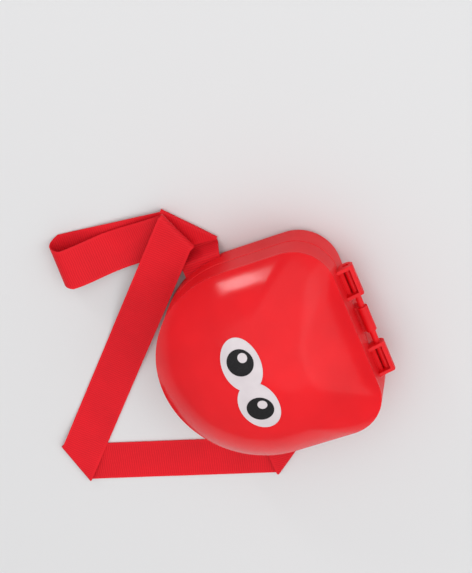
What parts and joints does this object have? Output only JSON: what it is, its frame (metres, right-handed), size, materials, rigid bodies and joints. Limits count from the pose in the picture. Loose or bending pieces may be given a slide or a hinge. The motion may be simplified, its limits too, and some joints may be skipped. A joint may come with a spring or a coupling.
{
  "type": "toy carry case",
  "caption": "Small moulded clamshell toy case with an arch-shaped outline, domed hinged lid, snap latch, eye sticker on the dome and a flat ribbon shoulder strap.",
  "frame": {"origin": "centre of the base's flat back, on the surface the case lies on", "axes": "+Z out of the back through the dome, +Y towards the hinge side, X along the hinge axis"},
  "size_m": [0.1553, 0.1783, 0.0539],
  "materials": {
    "red_plastic": "glossy moulded polypropylene",
    "white_film": "smooth vinyl film",
    "black_print": "smooth ink",
    "red_ribbon": "fine ribbed satin ribbon"
  },
  "bodies": {
    "base": {"base_shell": "red_plastic", "hinge_pin": "red_plastic", "shoulder_strap": "red_ribbon", "strap_stops": "red_ribbon"},
    "lid": {"lid_shell": "red_plastic", "eye_sticker": "white_film", "eye_pupils": "black_print", "eye_glints": "white_film"}
  },
  "joints": [
    {"name": "lid_hinge", "type": "hinge", "parent": "base", "child": "lid", "pos_m": [0, 0.0534, 0.0165], "axis": [-1, 0, 0], "range_deg": [0, 150]}
  ]
}
